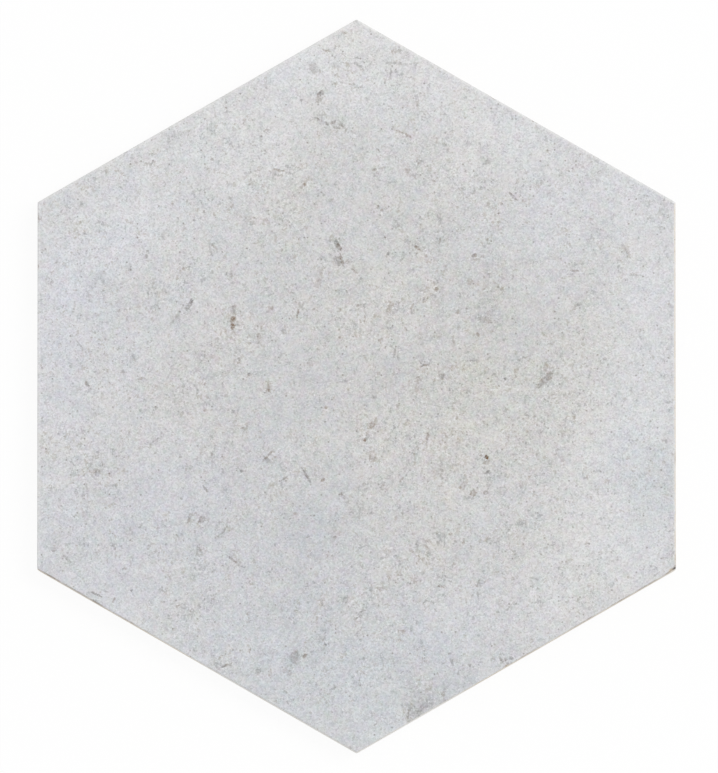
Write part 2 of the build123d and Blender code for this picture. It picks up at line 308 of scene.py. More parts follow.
# Noises of the material: size of their features, detail and roughness
GRAIN = (1.0, 3.0, 0.65)
MOTTLE = (5.0, 5.0, 0.65)
DRIFT = (30.0, 5.0, 0.6)
BUSY = (22.0, 3.0, 0.6)
TINT = (2.6, 3.0, 0.6)
WARM = (24.0, 4.0, 0.6)
PINK = (16.0, 4.0, 0.6)
HATCH = (1.4, 3.0, 0.75)
SPECK_HUE = (5.0, 1.0, 0.6)
RAGGED = (1.2, 4.0, 0.7)
BROKEN = (1.1, 3.0, 0.7)
SPECKLE = (0.6, 3.0, 0.7)
BODY_CLOUDS = (14.0, 4.0, 0.6)
EDGE_DARK_NOISE = (1.3, 4.0, 0.7)
SPRAY = (1.6, 5.0, 0.75)

# Grain of the print: how far it lightens and darkens
SAND_SIZE, SAND_SHADE = 0.48, 0.125
GRAIN_SHADE, MOTTLE_SHADE, DRIFT_SHADE = 0.085, 0.064, 0.05
TINT_STRENGTH = 0.23  # of fine grain in many hues
SAND_HEIGHT = 0.5  # of the sand in the bump, where the grain's is 1
FACE_ROUGH = (0.56, 0.72)
SPECULAR = 0.35

# Fired body on the walls and the back
SPECKLE_SHADE = 0.08
BODY_SAND_SIZE, BODY_SAND_SHADE, BODY_SAND_HEIGHT = 0.4, 0.05, 0.4
DIE_LINE, DIE_LINE_SHADE = (0.3, 0.05), (0.03, 0.14)  # fade and darkness at the land's lower edge
IRON_CELL, IRON_DOT, IRON_CHANCE, IRON_STRENGTH = 1.1, (0.34, 0.14), (0.2, 0.1), 0.5  # dark dots
WASH_LEVELS, WASH_COVER = (0.5, 0.05), (0.25, 0.85)  # kiln wash on the back's ribs
BODY_ROUGH = (0.72, 0.9)

# Parts of a noise's range from 0 to 1: nearly all that occurs, most, the middle, and less of its top
NOISE_WIDE = (0.25, 0.75)
NOISE_MOST = (0.3, 0.7)
NOISE_MIDDLE = (0.35, 0.65)
NOISE_LOWER = (0.35, 0.6)
ELSEWHERE = (51.0, 37.0, 13.0)  # step to a place where the same noise differs
SEED_STEP = (17.3, 5.1, 9.7)  # the same for the relief's noise, times its seed
OCTAVE_FALL, OCTAVE_STEP = 1.0, 2.0  # how much weaker and finer each octave of the relief is

# The print's dark patch by the lower right side stops at a straight line
SEAM_X = 16.4
SEAM_TOP = -108.5

# Chips of the face's edge: middle x and y, reach along the edge and depth
CHIPS = (
    (106.7, -63.2, 1.5, 0.2),
    (51, -95.6, 1.0, 0.15),
    (46.5, 98.2, 1.0, 0.1),
    (60, 90.3, 0.9, 0.1),
    (-108.2, 57.7, 1.0, 0.1),
    (-108.2, 40.5, 0.9, 0.1),
)
CHIP_HEIGHT = 1.5  # how far a chip reaches down the wall
CHIP_WIDTH = 0.6  # how far it reaches past the rounded edge into the face
CHIP_FULL = 0.2  # depth of a full chip
CHIP_CORE = 0.3  # share of a chip's reach within which it is deepest
CHIP_BARE = (0.75, 0.45)  # shares of the full depth at which the body is bare and the glaze whole

# Dark marks of the edge, most of all in its chips and along the lower sides: middle x and y, reach along the
# edge, down the wall and in from the side, strength
EDGE_DARKS = (
    (-103.5, -65.3, 9, 4.6, 0.4, 0.56), (-95.5, -70, 15, 4, 0.4, 0.45),
    (-88, -74.3, 6, 5, 0.4, 0.56), (-78, -80.1, 14, 3.6, 0.4, 0.36),
    (107.8, -62.5, 2.4, 1.1, 0.8, 1), (105.8, -63.7, 3.8, 1.6, 0.45, 0.64),
    (99, -67.8, 10, 4.8, 0.38, 0.5), (90, -73, 17, 4, 0.38, 0.44), (77, -80.5, 15, 4.8, 0.38, 0.4),
    (51, -95.5, 3, 2.6, 0.62, 0.44), (58, -91.5, 14, 4, 0.38, 0.36),
    (108.25, -25, 3.4, 2.6, 0.62, 0.44), (108.25, -59.5, 4.2, 2, 0.62, 0.34),
    (-108.2, 57.6, 2, 1.4, 0.62, 0.64), (-108.2, 40.5, 1.7, 1.4, 0.62, 0.54),
    (46.3, 98.2, 1.7, 1.4, 0.62, 0.64), (60, 90.3, 1.7, 1.4, 0.62, 0.54),
)
EDGE_DARK_TOP = 0.15  # share of its drop down to which a mark is darkest
EDGE_DARK_RAGGED = (0.4, 1.4)  # least and most of a mark's strength
EDGE_DARK_THICK = (0.6, 0.9)  # strengths between which a mark turns from brown to black

# Lower edge of the glaze, down from the face, for each side anticlockwise from the right one
GLAZE_DROP = np.array((-0.05, 0.6, 0.6, 0.7, 0.45, 0.4))
GLAZE_EDGE = (2.5, 0.2, 0.1)  # size and reach of its waves, and the fade
ENGOBE_BAND = np.array((0.0, 0.9, 0.9, 0.9, 0.9, 0.9))  # how much further down the pale engobe shows
ENGOBE_EDGE = (3.0, 1.4, 1.6)  # the same, for the engobe
SPRAY_COVER = (0.5, 0.92)  # the engobe is sprayed on

# Places where the engobe has run further down: middle x and y, reach and how much further
ENGOBE_RUNS = (
    (-26, -110, 46, 10),
    (12, -118, 40, 10),
    (70, 85, 30, 1.5),
    (-108, -20, 40, 1),
)
HIGHLIGHT_INWARD = 1.2  # how far in from the side the painted highlight reaches over the rounded edge
HIGHLIGHT_SHARE = np.array((0.6, 1.0, 1.0, 1.0, 0.3, 0.3))  # of the full painted highlight, for each side in the same order, strongest on the upper and left sides
HIGHLIGHT_COVER = (0.15, 0.5)  # of the painted highlight's paler tone, least and most

# Relief of the face: size and depth of its broad, middle and fine unevenness, and depth of a fleck's pit
BROAD_SIZE, BROAD_DEPTH = 25.0, 0.04
MIDDLE_SIZE, MIDDLE_DEPTH = 6.0, 0.03
FINE_SIZE, FINE_DEPTH = 2.2, 0.02
PIT_DEPTH = 0.08
EDGE_FADE = 3.0  # distance from the side over which the relief fades out
BUMP_DEPTH = 0.05  # relief finer than the mesh
SHARP_ANGLE = math.radians(30.0)

# Texture sheet, as shares of its side: the face, the walls in rows above it, and the back beside it
SHEET_EDGE = 0.008
FACE_SHEET = np.array((0.376, 0.433))
FACE_SHEET_SCALE = 0.0034  # per millimetre
BACK_SHEET = np.array((0.872, 0.145))
BACK_SHEET_SCALE = 0.0011
WALL_COLUMNS = 2
WALL_SHEET_SCALE = FACE_SHEET_SCALE
WALL_SHEET_LENGTH = WALL_SHEET_SCALE * LAND_APOTHEM / COS_30
WALL_SHEET_STEP = WALL_SHEET_LENGTH + 2 * SHEET_EDGE
WALL_SHEET_ROW = 0.041

# Stage: sizes in metres
FLOOR_SIZE = 60.0
FLOOR_GAP = 0.0002  # keeps the floor just under the back
FLOOR_WHITE = (0.96, 0.96, 0.96, 1.0)
FLOOR_GLOW = 0.92  # share of plain white in what the camera sees of the floor
WHITE = (1.0, 1.0, 1.0, 1.0)
SKY_LIGHT = 0.75
KEY_LIGHT = 0.25
KEY_AZIMUTH = 20.0
KEY_ELEVATION = 55.0
KEY_DISTANCE = 5.0
KEY_SIZE = 2.6

# Camera, in millimetres and degrees
SENSOR = 36.0
CAMERA_DISTANCE = 9000.0
FRAME_HEIGHT = 262.45  # of the picture, at that distance
TILT = 6.0  # from straight above, to the bottom tip
AIM = (0.83, 0.5, 0.0)
CLIP_END = 100.0  # metres


def linear(levels):
    """sRGB levels from 0 to 255 as linear light."""
    part = np.asarray(levels, float) / 255
    return np.where(part <= 0.04045, part / 12.92, ((part + 0.055) / 1.055) ** 2.4)


def colour(levels):
    """A colour socket's value for sRGB levels."""
    return (*linear(levels), 1.0)


def smooth_step(low, high, value):
    """0 at low, 1 at high and beyond, and a smooth rise between them."""
    part = np.clip((value - low) / (high - low), 0, 1)
    return part * part * (3 - 2 * part)


def noise_at(points, size, seed, octaves=3):
    """Fractal noise of about -1 to 1 at each point, with features of that size."""
    shift = Vector([seed * step for step in SEED_STEP])
    spots = [Vector(p) / size + shift for p in points]
    return np.array([noise.fractal(spot, OCTAVE_FALL, OCTAVE_STEP, octaves) for spot in spots])


def at_level(points, level):
    """Points of a plane, lifted to one level."""
    return np.column_stack([points, np.full(len(points), level)])


# The tile's mesh: a fine face, rings of wall below it, and the back with its keying cells

def face_lattice():
    """Points and triangles of a hexagon of side 1 filled with equal triangles, and the loop of its edge."""
    steps = SIDE_STEPS
    index = {}
    for i in range(-steps, steps + 1):
        for j in range(max(-steps, -steps - i), min(steps, steps - i) + 1):
            index[i, j] = len(index)
    axes = np.array(((COS_30, 0.5), (0.0, 1.0))) / steps
    points = np.array(list(index)) @ axes
    triangles = []
    for i in range(-steps, steps):
        for j in range(-steps, steps):
            for corners in (((i, j), (i + 1, j), (i, j + 1)), ((i + 1, j), (i + 1, j + 1), (i, j + 1))):
                if all(corner in index for corner in corners):
                    triangles.append([index[corner] for corner in corners])
    turns = ((1, 0), (0, 1), (-1, 1), (-1, 0), (0, -1), (1, -1))
    loop = []
    for start, end in zip(turns, turns[1:] + turns[:1]):
        for step in range(steps):
            loop.append(index[tuple(s * (steps - step) + e * step for s, e in zip(start, end))])
    return points, triangles, loop


def wall_section():
    """Apothem, level and corner radius of each ring, from the face's edge down the wall to the back."""
    rings = []
    for step in range(ARRIS_STEPS + 1):
        turn = math.pi / 2 * step / ARRIS_STEPS
        inset = ARRIS_RADIUS * (1 - math.sin(turn))
        level = THICKNESS - ARRIS_RADIUS * (1 - math.cos(turn))
        rings.append((LAND_APOTHEM - inset, level, CORNER_RADIUS - inset))
    for step in range(1, LAND_STEPS + 1):
        rings.append((LAND_APOTHEM, LAND_LOW + LAND_HEIGHT * (1 - step / LAND_STEPS), CORNER_RADIUS))
    for step in range(1, WALL_STEPS + 1):
        drop = (LAND_LOW - BEVEL_HEIGHT) * step / WALL_STEPS
        rings.append((LAND_APOTHEM - drop * math.tan(WALL_DRAFT), LAND_LOW - drop, CORNER_RADIUS))
    rings.append((rings[-1][0] - BEVEL_WIDTH, 0.0, CORNER_RADIUS))
    return rings


def hexagon_ring(unit_ring, apothem, corner_radius):
    """The hexagon's edge points at that apothem, with its corners drawn in to their radius."""
    reach = apothem / COS_30
    ring = unit_ring * reach
    ring[::SIDE_STEPS] *= 1 - CORNER_CUT * corner_radius / CORNER_RADIUS / reach
    return ring


def key_centres(back_apothem):
    """Middles of the keying cells on the back."""
    cell_reach = (KEY_PITCH - KEY_RIB) / 2 / COS_30
    rings = math.floor((back_apothem - KEY_MARGIN - cell_reach) / (KEY_PITCH * COS_30))
    for column in range(-rings, rings + 1):
        for row in range(max(-rings, -rings - column), min(rings, rings - column) + 1):
            yield KEY_PITCH * COS_30 * column, KEY_PITCH * (row + column / 2)


def key_rings(apothem, centres):
    """The six corners of every keying cell, one cell after the other."""
    corners = SIDE_NORMALS * apothem / COS_30
    return (np.array(centres)[:, None] + corners).reshape(-1, 2)


def back_skin(edge, first):
    """New points and faces of the back: ribs, then each cell's walls and floor.
    The edge's points are in the mesh already, from index first on, and the new points follow them."""
    centres = list(key_centres(np.abs(edge[:, 0]).max()))
    mouth = (KEY_PITCH - KEY_RIB) / 2
    mouths = key_rings(mouth, centres)
    floors = key_rings(mouth - KEY_DEPTH * math.tan(KEY_DRAFT), centres)
    flat = np.concatenate([edge, mouths])
    loops = [list(range(len(edge)))]
    loops += [list(range(start, start + SIDES)) for start in range(len(edge), len(flat), SIDES)]
    inside_loops = 1
    tolerance = 1e-6
    corners = [Vector(p) for p in flat]
    _, _, triangles, _, _, owners = delaunay_2d_cdt(corners, [], loops, inside_loops, tolerance)
    faces = [[first + k for k in t] for t, owner in zip(triangles, owners) if list(owner) == [0]]
    mouth_first = first + len(edge)
    floor_first = mouth_first + len(mouths)
    for cell in range(0, len(mouths), SIDES):
        for k in range(SIDES):
            a = cell + k
            b = cell + (k + 1) % SIDES
            faces.append([mouth_first + b, floor_first + b, floor_first + a, mouth_first + a])
        faces.append([floor_first + cell + k for k in range(SIDES)])
    downward = [face[::-1] for face in faces]
    return np.concatenate([at_level(mouths, 0.0), at_level(floors, KEY_DEPTH)]), downward


def wall_sheet(side, share, drop):
    """Place on the texture sheet of a point of the wall: its side, how far along it and how far down."""
    column, row = side % WALL_COLUMNS, side // WALL_COLUMNS
    across = SHEET_EDGE + column * WALL_SHEET_STEP + share * WALL_SHEET_LENGTH
    return across, 1 - SHEET_EDGE - row * WALL_SHEET_ROW - drop * WALL_SHEET_SCALE


def tile_skin():
    """Points in millimetres, faces, each face corner's place on the texture sheet, and the face's rim."""
    unit, faces, loop = face_lattice()
    rings = wall_section()
    unit_ring = unit[loop]
    face_points = unit * rings[0][0] / COS_30
    face_points[loop] = hexagon_ring(unit_ring, rings[0][0], rings[0][2])
    points = [at_level(face_points, THICKNESS)]
    sheet = [FACE_SHEET + face_points[k] * FACE_SHEET_SCALE for face in faces for k in face]
    upper = list(loop)
    count = len(face_points)
    drop = 0.0
    columns = len(loop)
    for above, ring in zip(rings, rings[1:]):
        flat = hexagon_ring(unit_ring, ring[0], ring[2])
        points.append(at_level(flat, ring[1]))
        lower = list(range(count, count + columns))
        count += columns
        lower_drop = drop + math.hypot(ring[0] - above[0], ring[1] - above[1])
        for k in range(columns):
            after = (k + 1) % columns
            faces.append([upper[k], lower[k], lower[after], upper[after]])
            side, step = divmod(k, SIDE_STEPS)
            for part, depth in ((step, drop), (step, lower_drop), (step + 1, lower_drop), (step + 1, drop)):
                sheet.append(wall_sheet(side, part / SIDE_STEPS, depth))
        upper, drop = lower, lower_drop
    back_points, back_faces = back_skin(flat, upper[0])
    points.append(back_points)
    points = np.concatenate(points)
    sheet += [BACK_SHEET + points[k, :2] * BACK_SHEET_SCALE for face in back_faces for k in face]
    return points, faces + back_faces, np.array(sheet), loop


# What the print and the edges look like at each point

def behind_seam(places):
    """Which places lie past the line where the dark patch stops."""
    return (places[:, 0] < SEAM_X) & (places[:, 1] < SEAM_TOP)


def room_in(layer, fleck):
    """Distance from a fleck to the nearest one in a layer."""
    return min((math.dist(fleck[:2], other[:2]) for other in layer), default=math.inf)


def fleck_layers():
    """The flecks, dealt out so that those close together are in different layers."""
    layers = [[] for _ in range(FLECK_LAYERS)]
    for fleck in FLECKS:
        rooms = [room_in(layer, fleck) for layer in layers]
        layers[rooms.index(max(rooms))].append(fleck)
    return layers


def fleck_frames(layer, places):
    """Each place in the frame of the nearest fleck of a layer: how far along and across it, as shares of
    half its length and half its width, its darkness, which fades out past it, and its rust."""
    nearest = np.full(len(places), np.inf)
    frames = np.zeros((len(places), 4))
    hidden = behind_seam(places)
    for x, y, length, width, heading, darkness, rust in layer:
        turn = math.radians(heading)
        shift = places - (x, y)
        along = shift @ (math.cos(turn), math.sin(turn))
        across = shift @ (-math.sin(turn), math.cos(turn))
        gap = np.hypot(np.maximum(np.abs(along) - length / 2, 0), np.maximum(np.abs(across) - width / 2, 0))
        if x > SEAM_X:
            gap[hidden] = MARK_FAR
        nearer = gap < nearest
        nearest[nearer] = gap[nearer]
        dark = darkness * smooth_step(MARK_FAR, MARK_NEAR, gap)
        found = np.column_stack([along * 2 / length, across * 2 / width, dark, np.full(len(places), rust)])
        frames[nearer] = found[nearer]
    return frames


def fleck_depth(frames):
    """How deep the flecks' pits are at each place, up to 1."""
    inward = np.clip(1 - np.hypot(frames[:, 0], frames[:, 1]) * FLECK_FALL, 0, 1)
    return inward * frames[:, 2]


def crowd_field(places):
    """How busy the flecks make the print around them at each place."""
    busy = np.zeros(len(places))
    for x, y, length, _, _, darkness, _ in FLECKS:
        far = np.linalg.norm(places - (x, y), axis=1) / (length / 2 + CROWD_REACH)
        busy = np.maximum(busy, darkness * smooth_step(1, CROWD_CORE, far))
    return busy


def cloud_levels(clouds, places):
    """The levels that soft clouds of the print add at each place, with a column for each kind."""
    levels = 0
    hidden = behind_seam(places)
    for x, y, reach_x, reach_y, *added in clouds:
        far = ((places - (x, y)) / (reach_x, reach_y)) ** 2
        part = np.exp(-far.sum(1))
        if x > SEAM_X:
            part[hidden] = 0
        levels = levels + part[:, None] * added
    return levels


def print_and_light_tone(places):
    """Broad colour of the print at each place, with painted light that is lighter towards the top and darker
    and cooler towards the bottom, as linear light.
    """
    lighter, warmer = cloud_levels(PRINT_AND_LIGHT_CLOUDS, places).T[:, :, None]
    greener, turned = cloud_levels(HUES, places).T[:, :, None]
    return linear(FACE_TONE + lighter + (warmer + turned) * WARMER + greener * GREENER)


def edge_distance(points):
    """Distance inwards from the nearest side at each point."""
    return LAND_APOTHEM - np.max(points[:, :2] @ SIDE_NORMALS.T, axis=1)


def nearest_side(points):
    """Number of the side that each point is nearest to, anticlockwise from the right one."""
    return np.argmax(points[:, :2] @ SIDE_NORMALS.T, axis=1)


def chip_field(points):
    """How deep the edge is chipped at each point."""
    deep = np.zeros(len(points))
    for x, y, reach, depth in CHIPS:
        far = np.linalg.norm(points[:, :2] - (x, y), axis=1) / reach
        deep = np.maximum(deep, depth * smooth_step(1, CHIP_CORE, far))
    deep *= smooth_step(THICKNESS - CHIP_HEIGHT, THICKNESS - ARRIS_RADIUS, points[:, 2])
    return deep * smooth_step(ARRIS_RADIUS + CHIP_WIDTH, ARRIS_RADIUS, edge_distance(points))


def edge_dark_field(points):
    """How dark the edge is made at each point, most of all in its chips and along the lower sides."""
    dark = np.zeros(len(points))
    inward = edge_distance(points)
    for x, y, reach, drop, width, strength in EDGE_DARKS:
        far = np.linalg.norm(points[:, :2] - (x, y), axis=1) / reach
        low = (THICKNESS - points[:, 2]) / drop
        near = smooth_step(1, 0, far) * smooth_step(1, EDGE_DARK_TOP, low)
        dark = np.maximum(dark, strength * near * smooth_step(width, width / 2, inward))
    return dark


def rim_highlight_field(points):
    """How strong the painted highlight along the face's rounded edge is at each point."""
    return HIGHLIGHT_SHARE[nearest_side(points)] * smooth_step(HIGHLIGHT_INWARD, ARRIS_RADIUS, edge_distance(points))


def glaze_fields(points, rim):
    """Levels at which the glaze and the engobe end on the rim and the walls, and far below on the face."""
    side = nearest_side(points)
    glaze = THICKNESS - GLAZE_DROP[side]
    engobe = glaze - ENGOBE_BAND[side]
    for x, y, reach, drop in ENGOBE_RUNS:
        far = np.linalg.norm(points[:, :2] - (x, y), axis=1) / reach
        engobe -= drop * smooth_step(1, 0, far)
    face = points[:, 2] == THICKNESS
    face[rim] = False
    glaze[face] = 0
    return glaze, engobe


def relief(places, density):
    """Depth of the face below its highest points at each place."""
    broad = noise_at(places, BROAD_SIZE, seed=1)
    middle = noise_at(places, MIDDLE_SIZE, seed=2)
    fine = noise_at(places, FINE_SIZE, seed=3, octaves=2)
    uneven = BROAD_DEPTH * (1 + broad) + MIDDLE_DEPTH * (1 + middle) + FINE_DEPTH * (1 + fine)
    return np.clip(uneven + PIT_DEPTH * density, 0, None)


def sink(points, layers, chips):
    """Moves the face's points down by its relief, and the chipped edge's points in and down."""
    face = points[:, 2] == THICKNESS
    pits = np.max([fleck_depth(frames) for frames in layers], axis=0)
    inner = smooth_step(ARRIS_RADIUS, EDGE_FADE, edge_distance(points[face]))
    deep = chips.copy()
    deep[face] += relief(points[face], pits[face]) * inner
    points[:, :2] *= (1 - chips / np.linalg.norm(points, axis=1))[:, None]
    points[:, 2] -= deep


def add_field(mesh, name, values, kind="FLOAT", key="value"):
    """Numbers at each point of the mesh, for the material to read."""
    field = mesh.attributes.new(name, kind, "POINT")
    field.data.foreach_set(key, values.astype(np.float32).ravel())


def tile_piece():
    """The tile as one mesh, with its relief, chipped edges and the fields that the material reads."""
    points, faces, sheet, rim = tile_skin()
    places = points[:, :2] - PRINT_MIDDLE
    layers = [fleck_frames(layer, places) for layer in fleck_layers()]
    chips = chip_field(points)
    edge_darks = edge_dark_field(points)
    glaze_ends, engobe_ends = glaze_fields(points, rim)
    sink(points, layers, chips)
    mesh = bpy.data.meshes.new("slate_tile")
    mesh.from_pydata(points * MM, [], faces)
    mesh.shade_smooth()
    mesh.set_sharp_from_angle(angle=SHARP_ANGLE)
    for number, frames in enumerate(layers):
        add_field(mesh, f"fleck_{number}", frames[:, :3], "FLOAT_VECTOR", "vector")
        add_field(mesh, f"rust_{number}", frames[:, 3])
    add_field(mesh, "smudge", cloud_levels(SMUDGES, places) / SMUDGE_FULL)
    add_field(mesh, "chip", np.clip(chips / CHIP_FULL, 0, 1))
    add_field(mesh, "edge_dark", edge_darks)
    add_field(mesh, "glaze_end", glaze_ends)
    add_field(mesh, "engobe_end", engobe_ends)
    add_field(mesh, "rim_highlight", rim_highlight_field(points))
    add_field(mesh, "crowd", crowd_field(places))
    tone = np.column_stack([print_and_light_tone(places), np.ones(len(points))])
    add_field(mesh, "tone", tone, "FLOAT_COLOR", "color")
    mesh.uv_layers.new(name="OFBake").uv.foreach_set("vector", sheet.astype(np.float32).ravel())
    piece = bpy.data.objects.new("slate_tile", mesh)
    bpy.context.scene.collection.objects.link(piece)
    return piece


# Materials

class Nodes:
    """A material's or world's nodes, added and joined in short calls.
    A socket as an input is joined, and any other value is set."""

    def __init__(self, owner):
        owner.use_nodes = True
        self.tree = owner.node_tree
        self.tree.nodes.clear()

    def new(self, kind, inputs=(), **settings):
        node = self.tree.nodes.new(kind)
        for name, value in settings.items():
            setattr(node, name, value)
        for key, value in dict(inputs).items():
            if isinstance(value, bpy.types.NodeSocket):
                self.tree.links.new(value, node.inputs[key])
            else:
                node.inputs[key].default_value = value
        return node

    def math(self, operation, first, second=0.0):
        return self.new("ShaderNodeMath", {0: first, 1: second}, operation=operation).outputs[0]

    def times(self, first, second):
        return self.math("MULTIPLY", first, second)

    def spread(self, value, low, high, to_low=0.0, to_high=1.0, kind="LINEAR"):
        """The value's range from low to high as the range from to_low to to_high, and on past it."""
        inputs = {"Value": value, "From Min": low, "From Max": high, "To Min": to_low, "To Max": to_high}
        node = self.new("ShaderNodeMapRange", inputs, interpolation_type=kind, clamp=kind != "LINEAR")
        return node.outputs["Result"]

    def fade(self, value, low, high, to_low=0.0, to_high=1.0):
        """A smooth change from to_low to to_high while the value goes from low to high, and none past it."""
        return self.spread(value, low, high, to_low, to_high, "SMOOTHSTEP")

    def varied(self, value, share, low=NOISE_WIDE[0], high=NOISE_WIDE[1]):
        """A factor that goes that share below and above 1 while the value goes from low to high."""
        return self.spread(value, low, high, 1 - share, 1 + share)

    def mix(self, factor, first, second, blend="MIX"):
        inputs = {0: factor, 6: first, 7: second}
        return self.new("ShaderNodeMix", inputs, data_type="RGBA", blend_type=blend).outputs[2]

    def between(self, factor, first, second):
        return self.new("ShaderNodeMix", {0: factor, 2: first, 3: second}).outputs[0]

    def scaled(self, vector, factor):
        return self.new("ShaderNodeVectorMath", {0: vector, "Scale": factor}, operation="SCALE").outputs[0]

    def product(self, vector, factors):
        return self.new("ShaderNodeVectorMath", {0: vector, 1: factors}, operation="MULTIPLY").outputs[0]

    def field(self, name, output="Fac"):
        return self.new("ShaderNodeAttribute", attribute_name=name).outputs[output]

    def noise(self, place, size, detail=3.0, roughness=0.6, output="Fac"):
        """Noise with features of about that size in millimetres."""
        inputs = {"Vector": place, "Scale": 1 / size, "Detail": detail, "Roughness": roughness}
        return self.new("ShaderNodeTexNoise", inputs).outputs[output]

    def cells(self, place, size):
        """Random cells of about that size in millimetres: distance to their middle, and random numbers."""
        found = self.new("ShaderNodeTexVoronoi", {"Vector": place, "Scale": 1 / size})
        parts = self.new("ShaderNodeSeparateColor", {"Color": found.outputs["Color"]})
        return found.outputs["Distance"], parts.outputs


def specks(nodes, place, busy, size, squeeze, start, strength):
    """Ragged specks strewn over the print, more of them where it is busy: how strong at each place."""
    crowding = nodes.spread(busy, *NOISE_WIDE, -SPECK_CROWDING, SPECK_CROWDING)
    level = nodes.math("ADD", nodes.noise(nodes.product(place, squeeze), size), crowding)
    return nodes.fade(level, start, start + SPECK_EDGE, 0.0, strength)


def pepper(nodes, place, busy):
    """Fine dark dots, more of them where the print is busy: how dark, and a random number for each dot."""
    far, chance = nodes.cells(place, PEPPER_CELL)
    dot = nodes.fade(far, *PEPPER_DOT)
    there = nodes.math("LESS_THAN", chance[0], nodes.spread(busy, *NOISE_MOST, *PEPPER_SHARE))
    strength = nodes.times(there, nodes.spread(chance[1], 0.0, 1.0, *PEPPER_STRENGTH))
    return nodes.times(dot, strength), chance[2]


def flecks(nodes, number, ragged, broken):
    """One layer of the print's larger marks, ragged outside and broken inside: how dark, and how brown."""
    marks = nodes.new("ShaderNodeSeparateXYZ", {"Vector": nodes.field(f"fleck_{number}", "Vector")}).outputs
    along, across = (nodes.math("POWER", nodes.math("ABSOLUTE", marks[axis]), 2.0) for axis in "XY")
    far = nodes.math("SQRT", nodes.math("ADD", along, across))
    outline = nodes.spread(ragged, 0.0, 1.0, *FLECK_RAGGED)
    edge = nodes.math("SUBTRACT", outline, nodes.times(far, FLECK_FALL))
    core = nodes.fade(broken, *NOISE_MIDDLE, 1.0, FLECK_BROKEN)
    strength = nodes.times(marks["Z"], FLECK_STRENGTH)
    dark = nodes.times(nodes.times(nodes.fade(edge, *FLECK_EDGE), core), strength)
    rust = nodes.math("ADD", nodes.field(f"rust_{number}"), nodes.spread(ragged, *NOISE_MOST, *RUST_SPREAD))
    return dark, nodes.fade(rust, 0.0, 1.0)


def print_ground(nodes, place, elsewhere, shade):
    """Colour of the print's ground: broad tone, grain, patches of tint and smudges."""
    base = nodes.scaled(nodes.field("tone", "Color"), shade)
    hues = nodes.noise(place, *TINT, output="Color")
    base = nodes.mix(TINT_STRENGTH, base, hues, "SOFT_LIGHT")
    warm = nodes.spread(nodes.noise(place, *WARM), *NOISE_WIDE)
    pink = nodes.spread(nodes.noise(elsewhere, *PINK), *NOISE_WIDE)
    base = nodes.product(base, nodes.mix(warm, COOL_TINT, WARM_TINT))
    base = nodes.product(base, nodes.mix(pink, GREEN_TINT, PINK_TINT))
    hatch = nodes.spread(nodes.noise(place, *HATCH), *NOISE_MIDDLE, *HATCH_COVER)
    cover = nodes.fade(nodes.times(nodes.field("smudge"), hatch), 0.0, 1.0)
    return nodes.mix(cover, base, colour(FLECK_GREY))


def printed_face(nodes, place):
    """Colour, height and roughness of the matt printed face."""
    elsewhere = nodes.new("ShaderNodeVectorMath", {0: place, 1: ELSEWHERE}).outputs[0]
    grain = nodes.noise(place, *GRAIN)
    mottle = nodes.noise(place, *MOTTLE)
    drift = nodes.noise(place, *DRIFT)
    busy = nodes.math("ADD", nodes.noise(place, *BUSY), nodes.times(nodes.field("crowd"), CROWD_SHARE))
    _, sand = nodes.cells(place, SAND_SIZE)
    shade = nodes.varied(sand[0], SAND_SHADE, 0.0, 1.0)
    for layer, share in ((grain, GRAIN_SHADE), (mottle, MOTTLE_SHADE), (drift, DRIFT_SHADE)):
        shade = nodes.times(shade, nodes.varied(layer, share))
    base = print_ground(nodes, place, elsewhere, shade)
    grey, brown, orange = colour(FLECK_GREY), colour(FLECK_BROWN), colour(FLECK_ORANGE)
    base = nodes.mix(specks(nodes, elsewhere, busy, *PALE_SPOTS), base, colour(SPOT_PALE))
    hue = nodes.fade(nodes.noise(place, *SPECK_HUE), *SPECK_HUE_EDGE)
    strewn = nodes.mix(hue, grey, orange)
    for layer in SPECKS:
        base = nodes.mix(specks(nodes, place, busy, *layer), base, strewn)
    dots, dot_hue = pepper(nodes, place, busy)
    base = nodes.mix(dots, base, nodes.mix(dot_hue, grey, brown))
    base = nodes.mix(specks(nodes, elsewhere, busy, *PALE_SPECKS), base, colour(SPECK_PALE))
    height = nodes.math("ADD", grain, nodes.times(sand[0], SAND_HEIGHT))
    ragged = nodes.noise(place, *RAGGED)
    broken = nodes.noise(place, *BROKEN)
    for number in range(FLECK_LAYERS):
        dark, rust = flecks(nodes, number, ragged, broken)
        base = nodes.mix(dark, base, nodes.mix(rust, grey, brown))
        height = nodes.math("SUBTRACT", height, dark)
    # painted highlight along the face's rounded edge, strongest on the upper and left sides
    highlight = nodes.times(nodes.field("rim_highlight"), nodes.spread(grain, *NOISE_MOST, *HIGHLIGHT_COVER))
    base = nodes.mix(highlight, base, colour(RIM_HIGHLIGHT))
    return base, height, nodes.spread(mottle, *NOISE_WIDE, *FACE_ROUGH)


